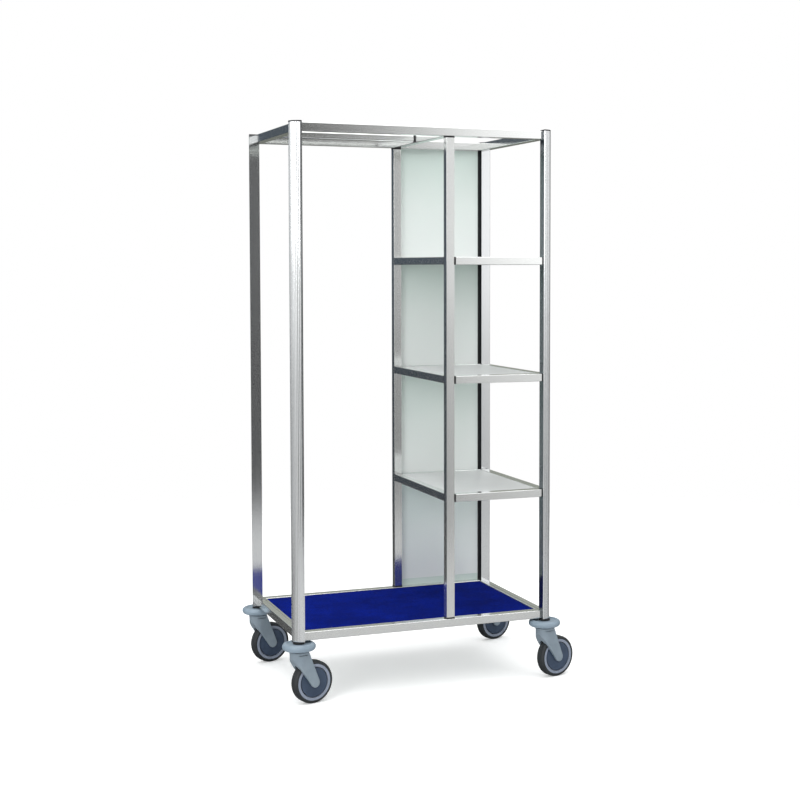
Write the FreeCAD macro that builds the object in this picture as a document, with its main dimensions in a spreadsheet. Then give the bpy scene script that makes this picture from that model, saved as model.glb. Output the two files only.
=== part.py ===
"""Hotel luggage cart: an aluminium frame on four swivel castors, with a hanging bay, three
shelves, a carpeted deck and a frosted back panel.

Millimetres. X runs along the cart, Y from its front to its back and Z up. The origin is on the
floor, at the centre of the cart's bounding box with its castors trailing towards +X.
"""
import FreeCAD, Part
import math
import os

import Sketcher

FLUTES = 8
NO_LENGTH = 1e-4              # lengths and heights closer than this are the same

CORNERS = {
    # name: (side along X, side along Y, turn of the corner post about Z in degrees)
    "front_left": (-1, -1, 180),
    "front_right": (1, -1, 270),
    "rear_right": (1, 1, 0),
    "rear_left": (-1, 1, 90),
}

DIMENSIONS = {
    # layout
    "frame_centre_x": -28,       # frame's centre; the trailing wheels reach past it on one side
    "castor_pitch_x": 774,       # between castor axes
    "castor_pitch_y": 494,
    "post_foot": 186,            # floor to the posts' lower ends
    "post_length": 1480,
    "divider_x": 78,             # divider's centre from the frame's centre
    # corner posts: quarter-round extrusion with a fluted outer face
    "post_size": 32,
    "post_wall": 2.5,
    "post_end_round": 4,
    "stem_inset": 13,            # castor axis from the post's inner faces
    "flute_radius": 5,
    "flute_depth": 0.6,
    "flute_first": 17,           # degrees from the post's side face
    "flute_sweep": 56,
    "bead_groove": 2.2,          # groove between the fluted face and the post's edge bead
    "bead_width": 3.6,
    "bead_depth": 1.5,
    "cap_height": 4,
    "cap_inset": 0.4,
    "cap_round": 1.2,
    "plug_depth": 12,
    "foot_plate": 3,
    # frame rails
    "rail_height": 24.5,
    "rail_outward": 18,          # from the posts' inner faces towards the outside
    "rail_inward": 10,
    "rail_wall": 2,
    "rail_round": 1.6,
    "rail_groove": 1,
    "rail_groove_from_edge": 19,
    "lip_width": 10,
    "lip_height": 4,
    "connector_length": 30,
    "fit_gap": 0.2,
    # divider, cross-member and hanging rail
    "divider_size": 25,
    "divider_round": 1,
    "end_plate": 4.5,
    "tongue_length": 22,
    "hanging_rail_width": 24,
    "hanging_rail_height": 22,
    "hanging_rail_set_back": 36, # its centre behind the frame's centre
    "hanging_rail_round": 4.8,
    # shelves
    "shelf_plate": 2.5,
    "shelf_first_top": 584,
    "shelf_pitch": 352,
    "shelf_rail_height": 23,
    "shelf_rail_outward": 23,    # front and right rails, from the posts' inner faces
    "shelf_rail_inward": 7,
    "shelf_rear_reach": 10,
    "shelf_panel_height": 17,
    "shelf_panel_drop": 1,
    "panel_gap": 0.8,
    # deck and back panel
    "board_height": 17,
    "carpet_height": 2,
    "carpet_gap": 1,
    "back_panel_gap": 0.5,
    "back_panel_thickness": 4,
    "back_panel_reach": 12,
    "seal_width": 9,
    "seal_thickness": 1.6,
    # castors
    "castor_turn": 14.5,         # degrees of swivel from +X towards +Y at rest
    "castor_trail": 42,
    "wheel_radius": 62.5,
    "tyre_half": 15,
    "tyre_shoulder": 7.5,
    "tyre_side_drop": 0.5,
    "tyre_seat_radius": 49,
    "tyre_seat_half": 11,
    "ring_radius": 53,
    "ring_inner_radius": 45.2,
    "ring_half": 14.4,
    "web_half": 5,
    "hub_radius": 13,
    "hub_half": 16.6,
    "cover_radius": 42.2,
    "cover_hole": 13.5,
    "cover_thickness": 3,
    "cover_set_back": 0.8,
    "cover_dome": 1,
    "axle_radius": 5,
    "axle_half": 20,
    "running_gap": 0.06,
    "seat_gap": 0.02,
    "crown_radius": 26.9,
    "crown_top": 156,
    "crown_lead_foot": 137,      # where the leading edge leaves the crown
    "crown_trail_reach": 20,     # where the trailing edge meets the crown's top
    "collar_height": 5,
    "collar_radius": 27.6,
    "arm_end_radius": 14,
    "arm_tip_half": 22.5,
    "arm_inner_half": 17,
    "arm_edge_round": 1.6,
    "wheel_clearance": 4,
    "pin_radius": 8,
    "pin_head_radius": 11.5,
    "pin_head_foot": 128.5,
    "pin_head_height": 5,
    "bearing_radius": 21.5,
    "bearing_foot": 150.8,
    "bearing_top": 155.6,
    "clear_gap": 0.5,
    "cut_margin": 5,             # how far a cutting shape reaches past what it cuts
    "mark_height": 2,
    "mark_width": 30,
    "mark_level": 147.5,
    "mark_depth": 4,
    "sleeve_radius": 15,
    "bumper_radius": 48.5,
    "bumper_foot": 161,
    "bumper_height": 20,
    "bumper_hub_radius": 20.5,
    "bumper_dish_radius": 33,
    "bumper_dish_depth": 2.5,
    "bumper_dish_slope": 3,
    "spacer_radius": 17,
    "play": 0.3,
    "expander_radius": 10,
    "expander_foot": 200,
    "expander_length": 58,
}

doc = FreeCAD.newDocument("luggage_cart")
sub_parts = []


class Size:
    """A length with its value and the spreadsheet expression that gives it."""

    def __init__(self, value, text):
        self.value = float(value)
        self.text = text

    def __add__(self, other):
        other = as_size(other)
        return Size(self.value + other.value, f"({self.text} + {other.text})")

    def __sub__(self, other):
        other = as_size(other)
        return Size(self.value - other.value, f"({self.text} - {other.text})")

    def __mul__(self, other):
        other = as_size(other)
        return Size(self.value * other.value, f"({self.text} * {other.text})")

    def __truediv__(self, other):
        other = as_size(other)
        return Size(self.value / other.value, f"({self.text} / {other.text})")

    def __neg__(self):
        return self * -1

    def __radd__(self, other):
        return as_size(other) + self

    def __rsub__(self, other):
        return as_size(other) - self

    def __rmul__(self, other):
        return as_size(other) * self


def as_size(number):
    return number if isinstance(number, Size) else Size(number, f"({float(number)})")


def cosine(angle):
    return Size(math.cos(math.radians(angle.value)), f"cos({angle.text} * 1 deg)")


def sine(angle):
    return Size(math.sin(math.radians(angle.value)), f"sin({angle.text} * 1 deg)")


def make_sheet():
    """Write the driving dimensions and return them by name."""
    sheet = doc.addObject("Spreadsheet::Sheet", "Dims")
    sizes = {}
    for row, (name, value) in enumerate(DIMENSIONS.items(), start=1):
        sheet.set(f"A{row}", name)
        sheet.set(f"B{row}", str(value))
        sheet.setAlias(f"B{row}", name)
        sizes[name] = Size(value, f"Dims.{name}")
    doc.recompute()
    return sizes


D = make_sheet()

# positions that several sub-parts share
INNER_X = D["castor_pitch_x"] / 2 - D["stem_inset"]
INNER_Y = D["castor_pitch_y"] / 2 - D["stem_inset"]
CENTRE_X = D["frame_centre_x"]
POST_TOP = D["post_foot"] + D["post_length"]
BASE_FOOT = D["post_foot"]
BASE_TOP = BASE_FOOT + D["rail_height"]
TOP_FOOT = POST_TOP - D["rail_height"]
RAIL_OUT_Y = INNER_Y + D["rail_outward"]
RAIL_IN_Y = INNER_Y - D["rail_inward"]
RAIL_OUT_X = INNER_X + D["rail_outward"]
RAIL_IN_X = INNER_X - D["rail_inward"]
DIVIDER_LEFT = CENTRE_X + D["divider_x"] - D["divider_size"] / 2
DIVIDER_RIGHT = DIVIDER_LEFT + D["divider_size"]
DIVIDER_REAR = RAIL_OUT_Y - D["divider_size"]
RIGHT_FACE = CENTRE_X + INNER_X
BUMPER_FLOOR = D["bumper_foot"] + D["bumper_height"] - D["bumper_dish_depth"]
BUMPER_HUB_FOOT = D["bearing_top"] + D["play"]
BORE_GAP = D["running_gap"]


# ---------------------------------------------------------------- building blocks

def bind(item, name, size):
    item.setExpression(name, as_size(size).text)


def new_body(label):
    body = doc.addObject("PartDesign::Body", label)
    body.Label = label
    return body


def place(item, x, y, z, rotation=None):
    """Put a body at a point, turned by a rotation."""
    if rotation is not None:
        item.Placement = FreeCAD.Placement(FreeCAD.Vector(0, 0, 0), rotation)
    for name, size in zip("xyz", (x, y, z)):
        bind(item, f"Placement.Base.{name}", size)


def about(axis, degrees):
    return FreeCAD.Rotation(FreeCAD.Vector(*axis), degrees)


def origin_item(body, role):
    return next(item for item in body.Origin.OriginFeatures if item.Role == role)


def new_sketch(body, role, offset=None):
    sketch = body.newObject("Sketcher::SketchObject", "Sketch")
    sketch.AttachmentSupport = (origin_item(body, role), [""])
    sketch.MapMode = "FlatFace"
    if offset is not None:
        bind(sketch, "AttachmentOffset.Base.z", offset)
    return sketch


def fix_point(sketch, item, end, point):
    """Bind one point of a sketch to its two coordinates."""
    for kind, size in zip(("DistanceX", "DistanceY"), point):
        size = as_size(size)
        row = sketch.addConstraint(Sketcher.Constraint(kind, -1, 1, item, end, size.value))
        bind(sketch, f"Constraints[{row}]", size)


def vector(point):
    return FreeCAD.Vector(as_size(point[0]).value, as_size(point[1]).value, 0)


def draw_outline(sketch, points, arcs=()):
    """Draw a closed outline. arcs[i] is the centre and radius of the side after point i, which
    runs anticlockwise; every other side is straight."""
    arcs = dict(arcs)
    items = []
    for index, start in enumerate(points):
        finish = points[(index + 1) % len(points)]
        if index in arcs:
            centre, radius = arcs[index]
            middle = vector(centre)
            spread = [vector(p) - middle for p in (start, finish)]
            angles = [math.atan2(arm.y, arm.x) for arm in spread]
            circle = Part.Circle(middle, FreeCAD.Vector(0, 0, 1), as_size(radius).value)
            items.append(sketch.addGeometry(Part.ArcOfCircle(circle, *angles)))
        else:
            items.append(sketch.addGeometry(Part.LineSegment(vector(start), vector(finish))))
    for index, item in enumerate(items):
        following = items[(index + 1) % len(items)]
        sketch.addConstraint(Sketcher.Constraint("Coincident", item, 2, following, 1))
        fix_point(sketch, item, 1, points[index])
        if index in arcs:
            radius = as_size(arcs[index][1])
            row = sketch.addConstraint(Sketcher.Constraint("Radius", item, radius.value))
            bind(sketch, f"Constraints[{row}]", radius)


def draw_circle(sketch, centre, radius):
    radius = as_size(radius)
    circle = Part.Circle(vector(centre), FreeCAD.Vector(0, 0, 1), radius.value)
    item = sketch.addGeometry(circle)
    fix_point(sketch, item, 3, centre)
    row = sketch.addConstraint(Sketcher.Constraint("Radius", item, radius.value))
    bind(sketch, f"Constraints[{row}]", radius)


def pad(body, sketch, length, midplane=False):
    item = body.newObject("PartDesign::Pad", "Pad")
    item.Profile = sketch
    bind(item, "Length", length)
    item.Midplane = midplane
    return item


def pocket(body, sketch, length, midplane=False, upwards=False):
    """Cut a sketch's shape away, down from its plane unless upwards or midplane is set."""
    before = body.Tip
    item = body.newObject("PartDesign::Pocket", "Pocket")
    item.Profile = sketch
    bind(item, "Length", length)
    item.Midplane = midplane
    item.Reversed = upwards
    doc.recompute()
    if item.Shape.Volume > before.Shape.Volume - NO_LENGTH:
        raise RuntimeError(f"{body.Label}: a pocket cuts nothing")
    return item


def revolve(body, sketch):
    item = body.newObject("PartDesign::Revolution", "Revolution")
    item.Profile = sketch
    item.ReferenceAxis = (sketch, ["V_Axis"])
    item.Angle = 360
    return item


def box(body, kind, span_x, span_y, span_z, rotation=None):
    """Add ("Additive") or cut away ("Subtractive") a box between three pairs of positions."""
    item = body.newObject(f"PartDesign::{kind}Box", f"{kind}Box")
    if rotation is not None:
        item.Placement = FreeCAD.Placement(FreeCAD.Vector(0, 0, 0), rotation)
    for name, side, span in zip("xyz", ("Length", "Width", "Height"), (span_x, span_y, span_z)):
        bind(item, side, as_size(span[1]) - span[0])
        bind(item, f"Placement.Base.{name}", span[0])
    return item


def cylinder(body, kind, radius, foot, top):
    item = body.newObject(f"PartDesign::{kind}Cylinder", f"{kind}Cylinder")
    bind(item, "Radius", radius)
    bind(item, "Height", as_size(top) - foot)
    bind(item, "Placement.Base.z", foot)
    return item


def round_edges(body, radius, wanted):
    """Round the edges of the body so far that the test picks."""
    doc.recompute()
    base = body.Tip
    names = [f"Edge{i}" for i, edge in enumerate(base.Shape.Edges, start=1) if wanted(edge)]
    if not names:
        raise RuntimeError(f"{body.Label}: no edge to round")
    item = body.newObject("PartDesign::Fillet", "Fillet")
    item.Base = (base, names)
    bind(item, "Radius", radius)
    return item


def runs_along(*axis):
    """An edge test: straight, and parallel to the axis."""
    def test(edge):
        if edge.Curve.TypeId != "Part::GeomLine":
            return False
        along = edge.tangentAt(edge.FirstParameter).dot(FreeCAD.Vector(*axis))
        return abs(along) > 1 - NO_LENGTH
    return test


def lies_at_height(height):
    """An edge test: the whole edge is at one height."""
    def test(edge):
        bounds = edge.BoundBox
        return abs(bounds.ZMin - height) < NO_LENGTH and abs(bounds.ZMax - height) < NO_LENGTH
    return test


def keep(item):
    """Count an object as a sub-part; its label names its file."""
    sub_parts.append(item)
    return item


def keep_group(label, items):
    """Count several separate solids as one sub-part."""
    group = doc.addObject("Part::Compound", label)
    group.Label = label
    group.Links = items
    return keep(group)


# ---------------------------------------------------------------- corner posts

def quarter_outline(body, size, inset, level=None):
    """A quarter-disc sketch whose inner corner is inset from the body's origin."""
    sketch = new_sketch(body, "XY_Plane", level)
    reach = size - inset
    half_chord = Size(math.sqrt(reach.value ** 2 - as_size(inset).value ** 2),
                      f"sqrt({reach.text}^2 - {as_size(inset).text}^2)")
    points = [(inset, inset), (half_chord, inset), (inset, half_chord)]
    draw_outline(sketch, points, {1: ((0, 0), reach)}.items())
    return sketch


def make_post(label, side_x, side_y, turn):
    """A hollow quarter-round post. Its own origin is the post's inner corner."""
    body = new_body(label)
    pad(body, quarter_outline(body, D["post_size"], as_size(0)), D["post_length"])
    tips = (D["post_size"].value, 0.0)

    def outer_tip(edge):
        start = edge.Vertexes[0].Point
        return runs_along(0, 0, 1)(edge) and sorted((start.x, start.y)) == sorted(tips)

    round_edges(body, D["post_end_round"], outer_tip)
    cavity = quarter_outline(body, D["post_size"], D["post_wall"])
    pocket(body, cavity, D["post_length"], upwards=True)
    across = (D["bead_width"], D["bead_width"] + D["bead_groove"])
    deep = (D["post_size"] - D["bead_depth"], D["post_size"] + D["cut_margin"])
    for span_x, span_y in ((across, deep), (deep, across)):
        box(body, "Subtractive", span_x, span_y, (0, D["post_length"]))
    flute = new_sketch(body, "XY_Plane")
    arm = D["post_size"] + D["flute_radius"] - D["flute_depth"]
    first = D["flute_first"]
    draw_circle(flute, (arm * cosine(first), arm * sine(first)), D["flute_radius"])
    cut = pocket(body, flute, D["post_length"], upwards=True)
    pattern = body.newObject("PartDesign::PolarPattern", "PolarPattern")
    pattern.Originals = [cut]
    pattern.Axis = (origin_item(body, "Z_Axis"), [""])
    bind(pattern, "Angle", D["flute_sweep"])
    pattern.Occurrences = FLUTES
    body.Tip = pattern
    place(body, CENTRE_X + side_x * INNER_X, side_y * INNER_Y, D["post_foot"],
          about((0, 0, 1), turn))
    return keep(body)


def make_cap(label, side_x, side_y, turn):
    """The black plug that closes a post's upper end."""
    body = new_body(label)
    pad(body, quarter_outline(body, D["post_size"], D["cap_inset"]), D["cap_height"])
    round_edges(body, D["cap_round"], lies_at_height(D["cap_height"].value))
    plug = quarter_outline(body, D["post_size"], D["post_wall"] + D["fit_gap"],
                           -D["plug_depth"])
    pad(body, plug, D["plug_depth"])
    place(body, CENTRE_X + side_x * INNER_X, side_y * INNER_Y, POST_TOP,
          about((0, 0, 1), turn))
    return body


def make_foot_plug(label, side_x, side_y, turn):
    """The black plug at a post's lower end, with the spacer that stands on the castor."""
    body = new_body(label)
    height = D["foot_plate"]
    pad(body, quarter_outline(body, D["post_size"], D["cap_inset"]), height)
    shank = quarter_outline(body, D["post_size"], D["post_wall"] + D["fit_gap"], height)
    pad(body, shank, D["plug_depth"])
    spacer_foot = BUMPER_FLOOR + D["play"] - D["post_foot"] + height
    spacer = new_sketch(body, "XY_Plane", spacer_foot)
    centre = (D["stem_inset"], D["stem_inset"])
    draw_circle(spacer, centre, D["spacer_radius"])
    pad(body, spacer, -spacer_foot)
    bore = new_sketch(body, "XY_Plane", spacer_foot)
    draw_circle(bore, centre, D["pin_radius"] + D["fit_gap"])
    pocket(body, bore, D["plug_depth"] + height - spacer_foot, upwards=True)
    place(body, CENTRE_X + side_x * INNER_X, side_y * INNER_Y, D["post_foot"] - height,
          about((0, 0, 1), turn))
    return body


def make_posts():
    caps = []
    plugs = []
    for name, (side_x, side_y, turn) in CORNERS.items():
        make_post(f"corner_post_{name}", side_x, side_y, turn)
        caps.append(make_cap(f"post_cap_{name}", side_x, side_y, turn))
        plugs.append(make_foot_plug(f"foot_plug_{name}", side_x, side_y, turn))
    keep_group("post_caps", caps)
    keep_group("post_foot_plugs", plugs)


# ---------------------------------------------------------------- frame rails

def mitre(body, side_x, side_y, angle, foot, top):
    """Cut a rail off at 45 degrees, inwards from a post's inner corner."""
    reach = D["rail_inward"] + D["lip_width"]
    item = body.newObject("PartDesign::SubtractiveBox", "Mitre")
    item.Placement = FreeCAD.Placement(FreeCAD.Vector(0, 0, 0), about((0, 0, 1), angle))
    bind(item, "Length", 2 * reach)
    bind(item, "Width", 2 * reach)
    bind(item, "Height", top - foot)
    bind(item, "Placement.Base.x", CENTRE_X + side_x * INNER_X)
    bind(item, "Placement.Base.y", side_y * INNER_Y)
    bind(item, "Placement.Base.z", foot)


def frame_rail(label, along, side, foot, with_lip):
    """One hollow rail between two posts. along is "x" or "y"; side is -1 or 1."""
    body = new_body(label)
    top = foot + D["rail_height"]
    wall = D["rail_wall"]
    if along == "x":
        run = (CENTRE_X - INNER_X, CENTRE_X + INNER_X)
        edges = (side * RAIL_OUT_Y, side * RAIL_IN_Y)
        axis = (1, 0, 0)
        ends = ((1, side), (-1, side))
    else:
        run = (-INNER_Y, INNER_Y)
        edges = (CENTRE_X + side * RAIL_OUT_X, CENTRE_X + side * RAIL_IN_X)
        axis = (0, 1, 0)
        ends = ((side, 1), (side, -1))
    low, high = sorted(edges, key=lambda size: size.value)

    def across(first, second, span_z, kind):
        sides = (run, (first, second)) if along == "x" else ((first, second), run)
        box(body, kind, sides[0], sides[1], span_z)

    across(low, high, (foot, top), "Additive")
    round_edges(body, D["rail_round"], runs_along(*axis))
    across(low + wall, high - wall, (foot + wall, top - wall), "Subtractive")
    outer, inner = edges
    inwards = 1 if inner.value > outer.value else -1
    groove = outer + inwards * D["rail_groove_from_edge"]
    across(*sorted((groove, groove + inwards * D["rail_groove"]), key=lambda size: size.value),
           (top - D["rail_groove"], top), "Subtractive")
    if with_lip:
        lip = (inner, inner + inwards * D["lip_width"])
        overlap = (lip[0] - inwards * wall, lip[1])
        across(*sorted(overlap, key=lambda size: size.value), (foot, foot + D["lip_height"]),
               "Additive")
    for end_x, end_y in ends:
        mitre(body, end_x, end_y, mitre_angle(along, end_x, end_y), foot, top)
    doc.recompute()
    return keep(body)


def mitre_angle(along, end_x, end_y):
    """The turn of the cutting box that leaves this rail its own side of the corner's diagonal."""
    diagonal = math.degrees(math.atan2(-end_y, -end_x))
    other_side = {("x", 1): -90, ("x", -1): 0, ("y", 1): 0, ("y", -1): -90}
    return diagonal + other_side[(along, -end_x * end_y)]


def frame_connectors():
    """Blocks inside the ends of the frame rails and the cross-member, which hold them."""
    items = []
    wall = D["rail_wall"] + D["fit_gap"]
    length = D["connector_length"]
    setback = D["rail_inward"] + D["clear_gap"]
    for foot in (BASE_FOOT, TOP_FOOT):
        span_z = (foot + wall, foot + D["rail_height"] - wall)
        for side in (-1, 1):
            for end in (-1, 1):
                name = f"{len(items)}"
                near = CENTRE_X + end * (INNER_X - setback)
                far = near - end * length
                edge = (side * (RAIL_OUT_Y - wall), side * (RAIL_IN_Y + wall))
                items.append(block(f"connector_x{name}", (near, far), edge, span_z))
                near = end * (INNER_Y - setback)
                far = near - end * length
                edge = (CENTRE_X + side * (RAIL_OUT_X - wall),
                        CENTRE_X + side * (RAIL_IN_X + wall))
                items.append(block(f"connector_y{name}", edge, (near, far), span_z))
    keep_group("frame_rail_connectors", items)


def block(label, span_x, span_y, span_z, rounding=None):
    """A solid block, its spans given in any order."""
    body = new_body(label)
    spans = [sorted(map(as_size, span), key=lambda size: size.value)
             for span in (span_x, span_y, span_z)]
    box(body, "Additive", *spans)
    if rounding is not None:
        radius, axis = rounding
        round_edges(body, radius, runs_along(*axis))
    return body


def make_frame_rails():
    for level, foot, with_lip in (("base", BASE_FOOT, True), ("top", TOP_FOOT, False)):
        frame_rail(f"{level}_rail_front", "x", -1, foot, with_lip)
        frame_rail(f"{level}_rail_rear", "x", 1, foot, with_lip)
        frame_rail(f"{level}_rail_left", "y", -1, foot, with_lip)
        frame_rail(f"{level}_rail_right", "y", 1, foot, with_lip)
    frame_connectors()


# ---------------------------------------------------------------- bars with end plates

def hollow_bar(label, span_x, span_y, span_z, axis, rounding):
    """A hollow bar along one axis ("x", "y" or "z")."""
    directions = {"x": (1, 0, 0), "y": (0, 1, 0), "z": (0, 0, 1)}
    body = block(label, span_x, span_y, span_z, (rounding, directions[axis]))
    wall = D["rail_wall"]
    spans = []
    for name, span in zip("xyz", (span_x, span_y, span_z)):
        if name != axis:
            span = (span[0] + wall, span[1] - wall)
        spans.append(span)
    box(body, "Subtractive", *spans)
    return body


def end_plate(label, span_x, span_y, span_z, axis, side):
    """A black plate on a bar's end, with a tongue into the bar. side is where the bar lies."""
    body = block(label, span_x, span_y, span_z)
    wall = D["rail_wall"] + D["fit_gap"]
    spans = []
    for name, span in zip("xyz", (span_x, span_y, span_z)):
        if name != axis:
            span = (span[0] + wall, span[1] - wall)
        elif side > 0:
            span = (span[0], span[1] + D["tongue_length"])
        else:
            span = (span[0] - D["tongue_length"], span[1])
        spans.append(span)
    box(body, "Additive", *spans)
    return body


def plated_bar(label, spans, axis, rounding, plate):
    """A hollow bar between two end plates that fill the spans. Returns the bar and plates."""
    place_in = "xyz".index(axis)
    low, high = spans[place_in]
    middle = list(spans)
    middle[place_in] = (low + plate, high - plate)
    bar = hollow_bar(label, *middle, axis, rounding)
    plates = []
    for side, span in ((1, (low, low + plate)), (-1, (high - plate, high))):
        ends = list(spans)
        ends[place_in] = span
        plates.append(end_plate(f"{label}_plate_{len(plates)}", *ends, axis, side))
    return bar, plates


def make_dividers():
    plates = []
    span_x = (DIVIDER_LEFT, DIVIDER_RIGHT)
    places = {"front": (-RAIL_OUT_Y, -DIVIDER_REAR), "rear": (DIVIDER_REAR, RAIL_OUT_Y)}
    for name, span_y in places.items():
        spans = (span_x, span_y, (BASE_TOP, TOP_FOOT))
        bar, ends = plated_bar(f"divider_post_{name}", spans, "z", D["divider_round"],
                               D["end_plate"])
        keep(bar)
        plates += ends
    keep_group("divider_end_plates", plates)


def make_top_members():
    across = hollow_bar("top_cross_member", (DIVIDER_LEFT, DIVIDER_RIGHT), (-RAIL_IN_Y, RAIL_IN_Y),
                        (TOP_FOOT, POST_TOP), "y", D["rail_round"])
    keep(across)
    near = D["hanging_rail_set_back"] - D["hanging_rail_width"] / 2
    spans = ((CENTRE_X - RAIL_IN_X, DIVIDER_LEFT), (near, near + D["hanging_rail_width"]),
             (POST_TOP - D["hanging_rail_height"], POST_TOP))
    bar, plates = plated_bar("hanging_rail", spans, "x", D["hanging_rail_round"], D["end_plate"])
    keep(bar)
    keep_group("hanging_rail_end_plates", plates)


# ---------------------------------------------------------------- shelves, deck, back panel

def shelf_spans(top):
    """The spans of a shelf's four rails, and the axis that each rail runs along."""
    span_z = (top - D["shelf_rail_height"], top)
    inner_y = INNER_Y - D["shelf_rail_inward"]
    outer_y = INNER_Y + D["shelf_rail_outward"]
    across = (DIVIDER_RIGHT, RIGHT_FACE)
    return {
        "front": (across, (-outer_y, -inner_y), span_z, "x"),
        "rear": (across, (inner_y, INNER_Y + D["shelf_rear_reach"]), span_z, "x"),
        "left": ((DIVIDER_LEFT, DIVIDER_RIGHT), (-DIVIDER_REAR, DIVIDER_REAR), span_z, "y"),
        "right": ((RIGHT_FACE - D["shelf_rail_inward"], RIGHT_FACE + D["shelf_rail_outward"]),
                  (-inner_y, inner_y), span_z, "y"),
    }


def right_rail_plates(label, span_z):
    """Packing blocks between the right rail's ends and the posts' flat faces."""
    plates = []
    inner_y = INNER_Y - D["shelf_rail_inward"]
    wall = D["rail_wall"] + D["fit_gap"]
    span_x = (RIGHT_FACE, RIGHT_FACE + D["shelf_rail_outward"])
    inside_x = (span_x[0] - D["shelf_rail_inward"] + wall, span_x[1] - wall)
    inside_z = (span_z[0] + wall, span_z[1] - wall)
    for side in (-1, 1):
        body = block(f"{label}_{len(plates)}", span_x, (side * inner_y, side * INNER_Y), span_z)
        tongue = sorted((side * inner_y, side * (inner_y - D["tongue_length"])),
                        key=lambda size: size.value)
        box(body, "Additive", inside_x, tongue, inside_z)
        plates.append(body)
    return plates


def make_shelves():
    plates = []
    gap = D["panel_gap"]
    inner_y = INNER_Y - D["shelf_rail_inward"]
    for row, name in enumerate(("lower", "middle", "upper")):
        top = D["shelf_first_top"] + row * D["shelf_pitch"]
        spans = shelf_spans(top)
        others = []
        for side, (span_x, span_y, span_z, axis) in spans.items():
            label = f"{name}_shelf_{side}_rail"
            if side == "right":
                bar = hollow_bar(label, span_x, span_y, span_z, axis, D["rail_round"])
                ends = right_rail_plates(f"{label}_plate", span_z)
            else:
                bar, ends = plated_bar(label, (span_x, span_y, span_z), axis, D["rail_round"],
                                       D["shelf_plate"])
            plates += ends
            if side == "front":
                keep(bar)
            else:
                others.append(bar)
        keep_group(f"{name}_shelf_back_and_side_rails", others)
        panel_top = top - D["shelf_panel_drop"]
        keep(block(f"{name}_shelf_panel",
                   (DIVIDER_RIGHT + gap, RIGHT_FACE - D["shelf_rail_inward"] - gap),
                   (-inner_y + gap, inner_y - gap),
                   (panel_top - D["shelf_panel_height"], panel_top)))
    keep_group("shelf_end_plates", plates)


def make_deck():
    gap = D["panel_gap"]
    board_foot = BASE_FOOT + D["lip_height"]
    board_top = board_foot + D["board_height"]
    keep(block("deck_board", (CENTRE_X - RAIL_IN_X + gap, CENTRE_X + RAIL_IN_X - gap),
               (-RAIL_IN_Y + gap, RAIL_IN_Y - gap), (board_foot, board_top)))
    gap = D["carpet_gap"]
    keep(block("deck_carpet", (CENTRE_X - RAIL_IN_X + gap, CENTRE_X + RAIL_IN_X - gap),
               (-RAIL_IN_Y + gap, RAIL_IN_Y - gap), (board_top, board_top + D["carpet_height"])))


def make_back_panel():
    near = INNER_Y + D["back_panel_reach"]
    gap = D["back_panel_gap"]
    span_z = (BASE_TOP + gap, TOP_FOOT - gap)
    keep(block("back_panel", (DIVIDER_RIGHT, RIGHT_FACE),
               (near, near + D["back_panel_thickness"]), span_z))
    keep(block("back_panel_seal", (RIGHT_FACE - D["seal_width"], RIGHT_FACE),
               (near - D["seal_thickness"], near), span_z))


# ---------------------------------------------------------------- castors

def make_stem(label, x, y):
    """The fixed pin of a castor: its head, swivel bearing, sleeve, shank and expander."""
    body = new_body(label)
    head_top = D["pin_head_foot"] + D["pin_head_height"]
    expander_top = D["expander_foot"] + D["expander_length"]
    sleeve_top = BUMPER_FLOOR + D["play"]
    cylinder(body, "Additive", D["pin_radius"], D["pin_head_foot"], expander_top)
    cylinder(body, "Additive", D["pin_head_radius"], D["pin_head_foot"], head_top)
    cylinder(body, "Additive", D["bearing_radius"], D["bearing_foot"], D["bearing_top"])
    cylinder(body, "Additive", D["sleeve_radius"], D["bearing_top"], sleeve_top)
    cylinder(body, "Additive", D["expander_radius"], D["expander_foot"], expander_top)
    place(body, x, y, 0)
    return body


def make_bumper(label, x, y):
    """A disc with a rounded rim, free to turn on the stem's sleeve."""
    body = new_body(label)
    sketch = new_sketch(body, "XZ_Plane")
    bore = D["sleeve_radius"] + BORE_GAP
    foot = D["bumper_foot"]
    top = foot + D["bumper_height"]
    rim = D["bumper_height"] / 2
    rim_centre = D["bumper_radius"] - rim
    dish = D["bumper_dish_radius"]
    hub = D["bumper_hub_radius"]
    points = [(bore, BUMPER_HUB_FOOT), (hub, BUMPER_HUB_FOOT), (hub, foot), (rim_centre, foot),
              (D["bumper_radius"], foot + rim), (rim_centre, top),
              (dish + D["bumper_dish_slope"], top), (dish, BUMPER_FLOOR), (bore, BUMPER_FLOOR)]
    round_side = ((rim_centre, foot + rim), rim)
    draw_outline(sketch, points, {3: round_side, 4: round_side}.items())
    revolve(body, sketch)
    place(body, x, y, 0)
    return keep(body)


def tangent_point(centre, radius, outside, side):
    """Where the line from an outside point touches a circle, on one side of it."""
    gap_x = outside[0] - centre[0]
    gap_z = outside[1] - centre[1]
    square = gap_x * gap_x + gap_z * gap_z
    along = radius * radius / square
    length = Size(math.sqrt(square.value - radius.value ** 2),
                  f"sqrt({square.text} - {radius.text}^2)")
    across = side * radius * length / square
    return (centre[0] + along * gap_x - across * gap_z,
            centre[1] + along * gap_z + across * gap_x)


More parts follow.
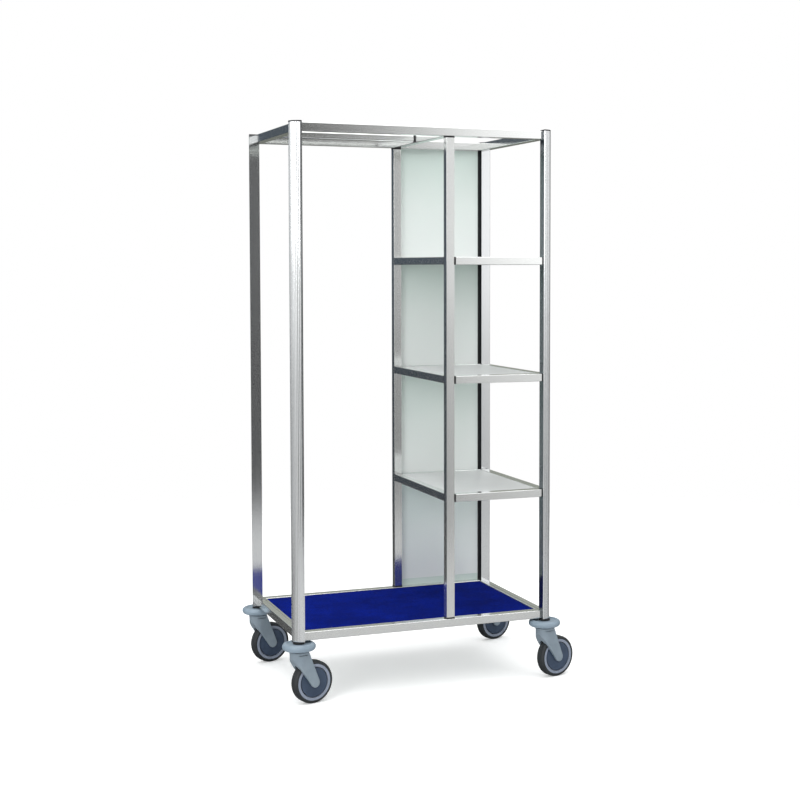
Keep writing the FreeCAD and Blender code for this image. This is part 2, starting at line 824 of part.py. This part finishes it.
def make_fork(label, x, y, turn):
    """The swivelling fork: a round crown with two arms that sweep back and down to the axle."""
    body = new_body(label)
    radius = D["crown_radius"]
    top = D["crown_top"]
    axle = (D["castor_trail"], D["wheel_radius"])
    tip = D["arm_end_radius"]
    end_x = axle[0] + tip
    foot = axle[1] - tip
    plan = new_sketch(body, "XY_Plane", foot)
    half = D["arm_tip_half"]
    ratio = (radius - half) / end_x
    touch_x = radius * ratio
    touch_y = Size(math.sqrt(radius.value ** 2 - touch_x.value ** 2),
                   f"sqrt({radius.text}^2 - {touch_x.text}^2)")
    points = [(touch_x, touch_y), (touch_x, -touch_y), (end_x, -half), (end_x, half)]
    draw_outline(plan, points, {0: ((0, 0), radius)}.items())
    pad(body, plan, top - foot)
    outside = new_sketch(body, "XZ_Plane")
    lead = (-radius, D["crown_lead_foot"])
    trail = (D["crown_trail_reach"], top)
    low = tangent_point(axle, tip, lead, 1)
    high = tangent_point(axle, tip, trail, -1)
    draw_outline(outside, [lead, low, high, trail, (-radius, top)], {1: (axle, tip)}.items())
    margin = D["cut_margin"]
    frame = [(-radius - margin, foot - margin), (end_x + margin, foot - margin),
             (end_x + margin, top + margin), (-radius - margin, top + margin)]
    draw_outline(outside, frame)
    pocket(body, outside, 2 * radius + margin, midplane=True)
    round_edges(body, D["arm_edge_round"], outer_arm_edge(top.value, D["arm_inner_half"].value))
    cylinder(body, "Additive", D["collar_radius"], top - D["collar_height"], top)
    slot = new_sketch(body, "XZ_Plane")
    draw_circle(slot, axle, D["wheel_radius"] + D["wheel_clearance"])
    pocket(body, slot, 2 * D["arm_inner_half"], midplane=True)
    bore = new_sketch(body, "XZ_Plane")
    draw_circle(bore, axle, D["axle_radius"] + D["seat_gap"])
    pocket(body, bore, 2 * D["axle_half"], midplane=True)
    clear = D["clear_gap"]
    head_top = D["pin_head_foot"] + D["pin_head_height"] + clear
    cylinder(body, "Subtractive", D["pin_radius"] + BORE_GAP, foot, top)
    cylinder(body, "Subtractive", D["pin_head_radius"] + clear, foot, head_top)
    cylinder(body, "Subtractive", D["bearing_radius"] + clear, D["bearing_foot"] - clear, top)
    half_mark = D["mark_width"] / 2
    box(body, "Subtractive", (-half_mark, half_mark), (-radius, -radius + D["mark_depth"]),
        (D["mark_level"], D["mark_level"] + D["mark_height"]))
    place(body, x, y, 0, turn)
    return keep(body)


def outer_arm_edge(crown_top, arm_side):
    """An edge test: the crown's upper rim, and the arms' edges on their outer sides."""
    def test(edge):
        middle = edge.valueAt((edge.FirstParameter + edge.LastParameter) / 2)
        at_top = abs(middle.z - crown_top) < NO_LENGTH
        if edge.BoundBox.YLength > 1:
            return at_top
        return abs(middle.y) > arm_side and not at_top
    return test


def make_axle(label, x, y, rotation):
    body = new_body(label)
    cylinder(body, "Additive", D["axle_radius"], -D["axle_half"], D["axle_half"])
    place(body, x, y, D["wheel_radius"], rotation)
    return keep(body)


def make_wheel(label, x, y, rotation):
    """The rim with its hub and web, light grey."""
    body = new_body(label)
    sketch = new_sketch(body, "XZ_Plane")
    bore = D["axle_radius"] + BORE_GAP
    hub = D["hub_radius"]
    web = D["web_half"]
    ring = D["ring_inner_radius"]
    edge = D["ring_radius"]
    seat = D["tyre_seat_radius"]
    half_points = [(bore, D["hub_half"]), (hub, D["hub_half"]), (hub, web), (ring, web),
                   (ring, D["ring_half"]), (edge, D["ring_half"]), (edge, D["tyre_seat_half"]),
                   (seat, D["tyre_seat_half"])]
    mirrored = [(across, -along) for across, along in reversed(half_points)]
    draw_outline(sketch, half_points + mirrored)
    revolve(body, sketch)
    place(body, x, y, D["wheel_radius"], rotation)
    return keep(body)


def make_tyre(label, x, y, rotation):
    body = new_body(label)
    sketch = new_sketch(body, "XZ_Plane")
    seat = D["tyre_seat_radius"]
    edge = D["ring_radius"]
    seat_half = D["tyre_seat_half"]
    half = D["tyre_half"]
    shoulder = D["tyre_shoulder"]
    crown = D["wheel_radius"]
    drop = D["tyre_side_drop"]
    points = [(seat, -seat_half), (edge, -seat_half), (edge, -half + drop),
              (crown - shoulder, -half), (crown, -half + shoulder), (crown, half - shoulder),
              (crown - shoulder, half), (edge, half - drop), (edge, seat_half),
              (seat, seat_half)]
    arcs = {3: ((crown - shoulder, -half + shoulder), shoulder),
            5: ((crown - shoulder, half - shoulder), shoulder)}
    draw_outline(sketch, points, arcs.items())
    revolve(body, sketch)
    place(body, x, y, D["wheel_radius"], rotation)
    return keep(body)


def make_wheel_covers(label, x, y, rotation):
    """The two blue-grey discs that close the wheel's faces."""
    covers = []
    for side in (-1, 1):
        body = new_body(f"{label}_{len(covers)}")
        sketch = new_sketch(body, "XZ_Plane")
        face = D["ring_half"] - D["cover_set_back"]
        back = face - D["cover_thickness"]
        points = [(D["cover_hole"], side * back), (D["cover_radius"], side * back),
                  (D["cover_radius"], side * face),
                  (D["cover_hole"], side * (face + D["cover_dome"]))]
        if side < 0:
            points.reverse()
        draw_outline(sketch, points)
        revolve(body, sketch)
        place(body, x, y, D["wheel_radius"], rotation)
        covers.append(body)
    return keep_group(label, covers)


def make_castors():
    stems = []
    turn = about((0, 0, 1), D["castor_turn"].value)
    on_side = turn.multiply(about((1, 0, 0), 90))
    for name, (side_x, side_y, _) in CORNERS.items():
        x = CENTRE_X + side_x * D["castor_pitch_x"] / 2
        y = side_y * D["castor_pitch_y"] / 2
        axle_x = x + D["castor_trail"] * cosine(D["castor_turn"])
        axle_y = y + D["castor_trail"] * sine(D["castor_turn"])
        stems.append(make_stem(f"castor_stem_{name}", x, y))
        make_bumper(f"bumper_{name}", x, y)
        make_fork(f"castor_fork_{name}", x, y, turn)
        make_axle(f"castor_axle_{name}", axle_x, axle_y, on_side)
        make_wheel(f"castor_wheel_{name}", axle_x, axle_y, on_side)
        make_wheel_covers(f"wheel_covers_{name}", axle_x, axle_y, on_side)
        make_tyre(f"castor_tyre_{name}", axle_x, axle_y, on_side)
    keep_group("castor_stems", stems)


# ---------------------------------------------------------------- build, test and write

def write_parts():
    doc.recompute()
    for item in doc.Objects:
        if {"Invalid", "Error"} & set(item.State):
            raise RuntimeError(f"{item.FullName}: {item.State}")
    for item in sub_parts:
        if item.Shape.isNull() or not item.Shape.isValid() or not item.Shape.Solids:
            raise RuntimeError(f"{item.Label}: no valid solid")
    os.makedirs("parts", exist_ok=True)
    for item in sub_parts:
        item.Shape.exportStep(f"parts/{item.Label}.step")
    print(len(sub_parts), "sub-parts written")


make_posts()
make_frame_rails()
make_dividers()
make_top_members()
make_shelves()
make_deck()
make_back_panel()
make_castors()
write_parts()
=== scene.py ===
"""Looks, light and camera for the hotel luggage cart. Metres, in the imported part's own frame."""

import math

import bmesh
import bpy
from mathutils import Matrix, Vector, noise


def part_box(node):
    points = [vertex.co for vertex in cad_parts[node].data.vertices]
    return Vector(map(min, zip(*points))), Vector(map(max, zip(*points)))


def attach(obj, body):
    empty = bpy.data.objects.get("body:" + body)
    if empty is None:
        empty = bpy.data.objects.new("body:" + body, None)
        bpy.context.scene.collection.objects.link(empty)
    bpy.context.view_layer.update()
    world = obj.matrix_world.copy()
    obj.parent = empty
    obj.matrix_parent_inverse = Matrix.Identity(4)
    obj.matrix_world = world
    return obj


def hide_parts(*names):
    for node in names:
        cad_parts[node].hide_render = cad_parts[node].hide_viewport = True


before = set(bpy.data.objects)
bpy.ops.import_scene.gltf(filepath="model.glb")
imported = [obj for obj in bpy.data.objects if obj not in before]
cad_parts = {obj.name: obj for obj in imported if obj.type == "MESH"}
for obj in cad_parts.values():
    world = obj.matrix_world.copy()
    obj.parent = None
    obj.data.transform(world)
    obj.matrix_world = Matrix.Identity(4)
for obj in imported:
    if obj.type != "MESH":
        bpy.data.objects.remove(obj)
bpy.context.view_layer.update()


# ---------------------------------------------------------------- node helpers

def set_stops(ramp, stops):
    """Give a colour ramp its stops, in rising order; a colour is RGB or a grey."""
    points = ramp.elements
    points[0].position = stops[0][0]
    points[-1].position = stops[-1][0]
    for position, _ in stops[1:-1]:
        points.new(position)
    for point, (_, colour) in zip(points, stops):
        if isinstance(colour, (int, float)):
            colour = (colour, colour, colour)
        point.color = (*colour, 1)


class Graph:
    """Helpers around a node tree. A node's input is a value, or the output of another node."""

    def __init__(self, tree):
        self.tree = tree

    def feed(self, socket, value):
        """Link an output to a socket, or set the socket's own value."""
        if isinstance(value, bpy.types.NodeSocket):
            self.tree.links.new(value, socket)
        else:
            socket.default_value = value

    def node(self, kind, **inputs):
        item = self.tree.nodes.new(kind)
        for name, value in inputs.items():
            self.feed(item.inputs[name.replace("_", " ")], value)
        return item

    def axes(self, vector):
        """The X, Y and Z outputs of a vector."""
        return self.node("ShaderNodeSeparateXYZ", Vector=vector).outputs

    def ramp(self, factor, *stops):
        """Colours along a factor; each stop is a position and an RGB colour or a grey."""
        item = self.node("ShaderNodeValToRGB", Fac=factor)
        set_stops(item.color_ramp, stops)
        return item.outputs["Color"]

    def mix(self, factor, first, second, blend="MIX"):
        """Blend two colours; an RGB colour gets its alpha here."""
        item = self.tree.nodes.new("ShaderNodeMix")
        item.data_type = "RGBA"
        item.blend_type = blend
        for socket, value in ((item.inputs[0], factor), (item.inputs[6], first),
                              (item.inputs[7], second)):
            self.feed(socket, (*value, 1) if isinstance(value, tuple) else value)
        return item.outputs[2]

    def math(self, operation, *values):
        item = self.tree.nodes.new("ShaderNodeMath")
        item.operation = operation
        for socket, value in zip(item.inputs, values):
            self.feed(socket, value)
        return item.outputs[0]


class Paint(Graph):
    """A node material around one Principled shader."""

    def __init__(self, name, **sockets):
        self.material = bpy.data.materials.new(name)
        self.material.use_nodes = True
        super().__init__(self.material.node_tree)
        self.shader = self.tree.nodes["Principled BSDF"]
        for socket, value in sockets.items():
            self.shader.inputs[socket.replace("_", " ")].default_value = value

    def drive(self, socket, output):
        self.tree.links.new(output, self.shader.inputs[socket])

    def place(self, scale=(1, 1, 1)):
        """The object's own coordinates, in metres, stretched."""
        where = self.tree.nodes.new("ShaderNodeTexCoord")
        return self.node("ShaderNodeMapping", Vector=where.outputs["Object"],
                         Scale=scale).outputs["Vector"]

    def noise(self, vector, scale, detail, roughness):
        return self.node("ShaderNodeTexNoise", Vector=vector, Scale=scale, Detail=detail,
                         Roughness=roughness).outputs["Fac"]

    def roughen(self, factor, span, least):
        """Roughness that rises from least by up to span along a factor."""
        self.drive("Roughness", self.math("MULTIPLY_ADD", factor, span, least))

    def bump(self, height, distance, strength):
        item = self.node("ShaderNodeBump", Height=height, Distance=distance, Strength=strength)
        self.drive("Normal", item.outputs["Normal"])


# ---------------------------------------------------------------- materials

POST_LIGHT = (0.90, 0.92, 0.93)
POST_DARK = (0.87, 0.89, 0.90)
RAIL_LIGHT = (0.87, 0.885, 0.875)
RAIL_DARK = (0.84, 0.855, 0.845)

# The painted shade on a right post's flat inner face, and how squarely a face looks along -X to
# carry it
INNER_FACE_SHADE = (0.12, 0.14, 0.155)
SHADE_FULL = -0.99
SHADE_NONE = -0.96

# Drawing lines per metre across an extrusion, and along it
LINES_ACROSS = 420.0
LINES_ALONG = 2.0

# The back panel's painted shade, darker and greener just under each shelf, and painted bounce
# light, paler lower down, repeat in each bay between shelves
BAY_FOOT = 0.232
BAY_PITCH = 0.352

# The moulded plastics' spark-eroded grain, per metre, and its depth
GRAIN_SIZE = 1400.0
GRAIN_DEPTH = 0.00025


def aluminium(name, along, light, dark, inner_shade=False):
    """Satin anodised extrusion with faint drawing lines along one axis. When asked for, the flat
    face towards -X carries a dark painted shade."""
    paint = Paint(name, Metallic=0.95, Anisotropic=0.25)
    stretch = tuple(LINES_ALONG if axis == along else LINES_ACROSS for axis in "xyz")
    lines = paint.noise(paint.place(stretch), 1.0, 3.0, 0.6)
    cloud = paint.noise(paint.place(), 7.0, 3.0, 0.5)
    base = paint.ramp(cloud, (0.30, dark), (0.70, light))
    # Painted shade: faces turned squarely towards -X get a dark colour, picked by their direction
    if inner_shade:
        facing = paint.tree.nodes.new("ShaderNodeTexCoord").outputs["Normal"]
        shaded_face = paint.node("ShaderNodeMapRange", Value=paint.axes(facing)["X"],
                           From_Min=SHADE_FULL, From_Max=SHADE_NONE, To_Min=1.0, To_Max=0.0)
        base = paint.mix(shaded_face.outputs["Result"], base, INNER_FACE_SHADE)
    drawn = paint.ramp(lines, (0.30, 0.975), (0.70, 1.0))
    paint.drive("Base Color", paint.mix(1.0, base, drawn, "MULTIPLY"))
    paint.roughen(lines, 0.05, 0.11)
    paint.bump(lines, 0.00002, 0.08)
    return paint.material


def plastic(name, light, dark, rough):
    """Moulded plastic with a fine spark-eroded grain and faint cloudiness."""
    paint = Paint(name)
    cloud = paint.noise(paint.place(), 28.0, 4.0, 0.55)
    paint.drive("Base Color", paint.ramp(cloud, (0.32, dark), (0.68, light)))
    grain = paint.noise(paint.place(), GRAIN_SIZE, 3.0, 0.6)
    paint.roughen(cloud, 0.12, rough - 0.06)
    paint.bump(grain, GRAIN_DEPTH, 0.6)
    return paint.material


def rubber(name):
    """Dark grey rubber with a little paler dust."""
    paint = Paint(name, Specular_IOR_Level=0.35)
    cloud = paint.noise(paint.place(), 40.0, 4.0, 0.6)
    dust = paint.noise(paint.place(), 300.0, 3.0, 0.7)
    worn = paint.ramp(cloud, (0.30, (0.018, 0.021, 0.024)), (0.70, (0.028, 0.032, 0.035)))
    paint.drive("Base Color", paint.mix(paint.math("MULTIPLY", dust, 0.10), worn,
                                        (0.07, 0.075, 0.08)))
    paint.roughen(dust, 0.20, 0.48)
    paint.bump(dust, 0.0003, 0.5)
    return paint.material


def laminate(name):
    """Pale grey board with fine specks under a thin coat."""
    paint = Paint(name, Coat_Weight=0.15, Coat_Roughness=0.4)
    speck = paint.noise(paint.place(), 900.0, 2.0, 0.7)
    cloud = paint.noise(paint.place(), 6.0, 3.0, 0.5)
    base = paint.ramp(cloud, (0.3, (0.60, 0.62, 0.62)), (0.7, (0.66, 0.68, 0.675)))
    fine = paint.ramp(speck, (0.35, 0.93), (0.65, 1.0))
    paint.drive("Base Color", paint.mix(1.0, base, fine, "MULTIPLY"))
    paint.roughen(speck, 0.15, 0.38)
    paint.bump(speck, 0.0002, 0.4)
    return paint.material


def frosted(name):
    """Satin acrylic: milky and green-tinted, with a fine etched grain. A painted shade makes it
    darker and greener towards the top of each bay, under the shelf above, and a painted light
    makes it paler towards the bay's foot.
    """
    paint = Paint(name, IOR=1.49, Transmission_Weight=0.10, Subsurface_Weight=0.15,
                  Subsurface_Radius=(0.01, 0.012, 0.011))
    # Painted shade and light: the colour darkens and greens with height in each bay, towards the
    # shelf above; the cloud only varies it at random
    above = paint.math("SUBTRACT", paint.axes(paint.place())["Z"], BAY_FOOT)
    bay_shade = paint.math("FRACT", paint.math("DIVIDE", above, BAY_PITCH))
    cloud = paint.noise(paint.place((1, 1, 0.6)), 4.0, 3.0, 0.5)
    level = paint.math("MULTIPLY_ADD", cloud, 0.25, bay_shade)
    paint.drive("Base Color", paint.ramp(level, (0.10, (0.86, 0.90, 0.885)),
                                         (0.60, (0.79, 0.86, 0.83)),
                                         (1.00, (0.66, 0.765, 0.72))))
    etched = paint.noise(paint.place(), 3200.0, 2.0, 0.6)
    paint.roughen(etched, 0.14, 0.42)
    paint.bump(etched, 0.0001, 0.4)
    return paint.material


def carpet_pile(name):
    """Short dense pile: each tuft has its own shade, with trodden patches and paler tips."""
    paint = Paint(name, Roughness=0.95, Specular_IOR_Level=0.04, Sheen_Weight=0.02,
                  Sheen_Roughness=0.45, Sheen_Tint=(0.15, 0.30, 0.95, 1))
    where = paint.place()
    tuft = paint.node("ShaderNodeTexVoronoi", Vector=where, Scale=430.0)
    fibre = paint.noise(where, 1500.0, 3.0, 0.7)
    tread = paint.noise(where, 12.0, 4.0, 0.6)
    shade = paint.ramp(tuft.outputs["Color"], (0.0, (0.0003, 0.0055, 0.120)),
                       (1.0, (0.0008, 0.0150, 0.290)))
    lean = paint.ramp(tread, (0.35, (0.72, 0.72, 0.74)), (0.65, (1.12, 1.12, 1.14)))
    soft = paint.mix(1.0, shade, lean, "MULTIPLY")
    tips = paint.ramp(fibre, (0.35, (0.62, 0.62, 0.66)), (0.70, (1.15, 1.15, 1.15)))
    paint.drive("Base Color", paint.mix(1.0, soft, tips, "MULTIPLY"))
    height = paint.math("SUBTRACT", fibre, paint.math("MULTIPLY", tuft.outputs["Distance"], 1.2))
    paint.bump(height, 0.0014, 0.9)
    return paint.material


def steel(name):
    """Bright plated steel with turning marks around its length."""
    paint = Paint(name, Metallic=1.0)
    turned = paint.noise(paint.place((60, 60, 1500)), 1.0, 3.0, 0.6)
    paint.drive("Base Color", paint.ramp(turned, (0.3, (0.50, 0.50, 0.49)),
                                         (0.7, (0.66, 0.66, 0.65))))
    paint.roughen(turned, 0.15, 0.25)
    return paint.material


MATERIALS = {
    "post": aluminium("post aluminium", "z", POST_LIGHT, POST_DARK),
    # The right posts' flat inner faces carry a painted shade
    "right_post": aluminium("right post aluminium with painted shade", "z", POST_LIGHT, POST_DARK, inner_shade=True),
    "rail_x": aluminium("rail aluminium along x", "x", RAIL_LIGHT, RAIL_DARK),
    "rail_y": aluminium("rail aluminium along y", "y", RAIL_LIGHT, RAIL_DARK),
    "rail_z": aluminium("rail aluminium upright", "z", RAIL_LIGHT, RAIL_DARK),
    "black": plastic("black nylon", (0.012, 0.012, 0.014), (0.008, 0.008, 0.009), 0.45),
    "laminate": laminate("grey laminate"),
    "carpet": carpet_pile("blue carpet pile"),
    "frosted": frosted("frosted acrylic"),
    "steel": steel("zinc plated steel"),
    "castor": plastic("blue-grey castor plastic", (0.215, 0.265, 0.310), (0.180, 0.226, 0.268),
                      0.45),
    "bumper": plastic("blue-grey bumper plastic", (0.225, 0.290, 0.350), (0.188, 0.248, 0.303),
                      0.40),
    "rim": plastic("light wheel rim", (0.235, 0.270, 0.345), (0.200, 0.235, 0.300), 0.45),
    "cover": plastic("dark wheel cover", (0.040, 0.066, 0.115), (0.030, 0.050, 0.088), 0.42),
    "tyre": rubber("grey tyre rubber"),
}

# Finishes by a node's whole name, by its start and by its end; anything else is black nylon
WHOLE_NAMES = {"deck_board": "laminate", "back_panel": "frosted", "castor_stems": "steel",
               "top_cross_member": "rail_y"}
NAME_STARTS = {"divider_post": "rail_z", "castor_axle": "steel", "castor_fork": "castor",
               "castor_wheel": "rim", "castor_tyre": "tyre", "wheel_covers": "cover",
               "bumper": "bumper"}
NAME_ENDS = {"rail_left": "rail_y", "rail_right": "rail_y", "back_and_side_rails": "rail_y",
             "rail_front": "rail_x", "rail_rear": "rail_x", "front_rail": "rail_x",
             "hanging_rail": "rail_x", "shelf_panel": "laminate"}


def material_for(node):
    """The finish of a CAD node, from its name."""
    if node.startswith("corner_post"):
        return "right_post" if node.endswith("right") else "post"
    if node in WHOLE_NAMES:
        return WHOLE_NAMES[node]
    for end, slot in NAME_ENDS.items():
        if node.endswith(end):
            return slot
    for start, slot in NAME_STARTS.items():
        if node.startswith(start):
            return slot
    return "black"


for name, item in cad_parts.items():
    item.data.materials.clear()
    item.data.materials.append(MATERIALS[material_for(name)])


# ---------------------------------------------------------------- the deck's carpet

# The pile is sampled on a square grid, lies just under the CAD sheet's top, and drops further in
# its outermost rows. Its noise has tufts and slower waves, both scaled per metre.
CARPET_STEP = 0.004
CARPET_SINK = 0.0004
EDGE_DROPS = (0.0009, 0.0003, 0.0001)
TUFT_HEIGHT = 0.0002
TUFT_SCALE = 210
WAVE_SCALE = 25


def make_carpet():
    """The deck's carpet: a loose-laid sheet whose top is uneven and whose edges roll down."""
    low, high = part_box("deck_carpet")
    columns = round((high.x - low.x) / CARPET_STEP)
    rows = round((high.y - low.y) / CARPET_STEP)
    points = []
    for row in range(rows + 1):
        for column in range(columns + 1):
            x = low.x + (high.x - low.x) * column / columns
            y = low.y + (high.y - low.y) * row / rows
            edge = min(column, columns - column, row, rows - row)
            drop = EDGE_DROPS[edge] if edge < len(EDGE_DROPS) else 0.0
            tuft = noise.noise(Vector((x, y, 0)) * TUFT_SCALE)
            tuft += noise.noise(Vector((x, y, 1)) * WAVE_SCALE)
            points.append((x, y, high.z - CARPET_SINK - drop + TUFT_HEIGHT * tuft))
    faces = []
    for row in range(rows):
        for column in range(columns):
            corner = row * (columns + 1) + column
            faces.append((corner, corner + 1, corner + columns + 2, corner + columns + 1))
    border = list(range(columns))
    border += [row * (columns + 1) + columns for row in range(rows)]
    border += [rows * (columns + 1) + column for column in range(columns, 0, -1)]
    border += [row * (columns + 1) for row in range(rows, 0, -1)]
    first = len(points)
    points += [(points[index][0], points[index][1], low.z) for index in border]
    for place, index in enumerate(border):
        after = (place + 1) % len(border)
        faces.append((index, first + place, first + after, border[after]))
    faces.append(tuple(range(len(points) - 1, first - 1, -1)))
    mesh = bpy.data.meshes.new("carpet_pile")
    mesh.from_pydata(points, [], faces)
    mesh.shade_smooth()
    mesh.materials.append(MATERIALS["carpet"])
    carpet = bpy.data.objects.new("carpet_pile", mesh)
    bpy.context.scene.collection.objects.link(carpet)
    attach(carpet, "frame")
    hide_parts("deck_carpet")


make_carpet()


# ---------------------------------------------------------------- stage, light and camera

FLOOR_RADIUS = 14.0
FLOOR_LIFT = 0.30
FLOOR_FADE_START = 1.6
FLOOR_FADE_END = 4.0

# In reflections, the floor's grey falls between these places in front of and behind the cart
DIM_FRONT = -0.75
DIM_BACK = 0.15
DIM_FRONT_GREY = 0.40
DIM_BACK_GREY = 0.035


def make_floor():
    """A pale disc that fades out into the white. Reflections of it are dimmer behind the cart,
    like a studio's dark end, and a little emission lifts it for the camera only."""
    mesh = bpy.data.meshes.new("floor")
    shape = bmesh.new()
    bmesh.ops.create_circle(shape, cap_ends=True, segments=96, radius=FLOOR_RADIUS)
    shape.to_mesh(mesh)
    shape.free()
    floor = bpy.data.objects.new("floor", mesh)
    bpy.context.scene.collection.objects.link(floor)
    paint = Paint("pale floor", Roughness=0.75, Specular_IOR_Level=0.1,
                  Emission_Color=(0.98, 1.0, 0.995, 1))
    cloud = paint.noise(paint.place(), 2.0, 3.0, 0.5)
    pale = paint.ramp(cloud, (0.3, (0.900, 0.905, 0.905)), (0.7, (0.915, 0.920, 0.920)))
    where = paint.place()
    level = paint.node("ShaderNodeMapRange", Value=paint.axes(where)["Y"],
                       From_Min=DIM_FRONT, From_Max=DIM_BACK)
    dim = paint.ramp(level.outputs["Result"], (0.0, DIM_FRONT_GREY), (1.0, DIM_BACK_GREY))
    path = paint.tree.nodes.new("ShaderNodeLightPath")
    lift = paint.math("MULTIPLY", path.outputs["Is Camera Ray"], FLOOR_LIFT)
    paint.drive("Emission Strength", lift)
    paint.drive("Base Color", paint.mix(path.outputs["Is Glossy Ray"], pale, dim))
    reach = paint.tree.nodes.new("ShaderNodeVectorMath")
    reach.operation = "LENGTH"
    paint.feed(reach.inputs[0], where)
    fade = paint.node("ShaderNodeMapRange", Value=reach.outputs["Value"],
                      From_Min=FLOOR_FADE_START, From_Max=FLOOR_FADE_END,
                      To_Min=1.0, To_Max=0.0)
    fade.interpolation_type = "SMOOTHERSTEP"
    paint.drive("Alpha", fade.outputs["Result"])
    mesh.materials.append(paint.material)


def area_light(name, place, target, size, power):
    """A rectangular lamp aimed at a point, with its power in watts."""
    light = bpy.data.lights.new(name, "AREA")
    light.shape = "RECTANGLE"
    light.size, light.size_y = size
    light.energy = power
    item = bpy.data.objects.new(name, light)
    item.location = place
    aim = Vector(target) - Vector(place)
    item.rotation_euler = aim.to_track_quat("-Z", "Y").to_euler()
    bpy.context.scene.collection.objects.link(item)


OLIVE = (0.27, 0.285, 0.25)
CORNER_SHADE = (0.045, 0.060, 0.078)
CEILING = (0.80, 0.80, 0.80)
STUDIO_STRENGTH = 1.1

# The studio's walls: degrees from straight ahead of the cart, positive to its right, and colour
WALLS = (
    (-180, OLIVE), (-175, (0.18, 0.20, 0.19)), (-170, CORNER_SHADE), (-138, CORNER_SHADE),
    (-122, 0.40), (-105, 0.95), (-30, 1.05), (-8, 0.60), (2, 0.05), (15.8, 0.03),
    (16.8, 0.18), (18, 0.30), (20, 0.52), (21.5, 0.92), (23.5, 1.20), (26, 1.30), (52, 1.30),
    (64, 0.50), (80, 0.28), (142, 0.25), (155, OLIVE), (180, OLIVE))

# How bright a wall is from straight down (0) over the horizon (0.5) to straight up (1)
HORIZON = ((0.0, 0.40), (0.42, 0.46), (0.455, 0.54), (0.475, 0.66), (0.50, 0.97), (1.0, 1.0))

# The same heights, where the walls give way to the ceiling
CEILING_EDGE = ((0.60, 0.0), (0.80, 1.0))


def make_world():
    """A studio that is bright on the left and on the front right, with a dark flag straight
    ahead of the cart, a dim right side and back, and a dark corner behind on the left. The
    camera sees plain white."""
    world = bpy.data.worlds.new("studio")
    bpy.context.scene.world = world
    world.use_nodes = True
    graph = Graph(world.node_tree)
    where = graph.tree.nodes.new("ShaderNodeTexCoord")
    axes = graph.axes(where.outputs["Generated"])
    bearing = graph.math("ARCTAN2", axes["X"], graph.math("MULTIPLY", axes["Y"], -1.0))
    turn = graph.math("MULTIPLY_ADD", bearing, 1 / math.tau, 0.5)
    walls = graph.ramp(turn, *[(degrees / 360 + 0.5, colour) for degrees, colour in WALLS])
    height = graph.math("MULTIPLY_ADD", axes["Z"], 0.5, 0.5)
    room = graph.mix(graph.ramp(height, *CEILING_EDGE), walls, CEILING)
    dimmed = graph.mix(1.0, room, graph.ramp(height, *HORIZON), "MULTIPLY")
    back = graph.tree.nodes["Background"]
    graph.feed(back.inputs["Color"], dimmed)
    back.inputs["Strength"].default_value = STUDIO_STRENGTH
    seen = graph.node("ShaderNodeBackground", Color=(1, 1, 1, 1))
    path = graph.tree.nodes.new("ShaderNodeLightPath")
    choice = graph.tree.nodes.new("ShaderNodeMixShader")
    graph.feed(choice.inputs[0], path.outputs["Is Camera Ray"])
    graph.feed(choice.inputs[1], back.outputs[0])
    graph.feed(choice.inputs[2], seen.outputs[0])
    graph.feed(graph.tree.nodes["World Output"].inputs["Surface"], choice.outputs[0])


# The viewpoint's turns are in radians, and its lens and sensor in millimetres
CAMERA_PLACE = (-1.529, -4.372, 1.259)
CAMERA_YAW = 0.3856
CAMERA_PITCH = -0.0569
CAMERA_ROLL = 0.0006
CAMERA_LENS = 67.34
CAMERA_SENSOR = 36
CAMERA_SHIFT = (-0.1, -0.06)


def make_camera():
    """The photograph's viewpoint: in front on the left, looking right and a little down."""
    camera = bpy.data.cameras.new("camera")
    camera.sensor_width = CAMERA_SENSOR
    camera.lens = CAMERA_LENS
    camera.shift_x, camera.shift_y = CAMERA_SHIFT
    camera.clip_end = 100
    item = bpy.data.objects.new("camera", camera)
    turn = (Matrix.Rotation(-CAMERA_YAW, 4, "Z")
            @ Matrix.Rotation(math.pi / 2 + CAMERA_PITCH, 4, "X")
            @ Matrix.Rotation(CAMERA_ROLL, 4, "Z"))
    item.matrix_world = Matrix.Translation(CAMERA_PLACE) @ turn
    bpy.context.scene.collection.objects.link(item)
    bpy.context.scene.camera = item


bpy.context.scene.view_settings.view_transform = "Standard"
make_floor()
make_world()
area_light("overhead", place=(-0.2, -0.6, 4.5), target=(0, 0, 0.8), size=(6, 6), power=170)
area_light("front left", place=(-3.6, -3.2, 2.6), target=(0, 0, 1.0), size=(1.6, 2.6), power=60)
make_camera()
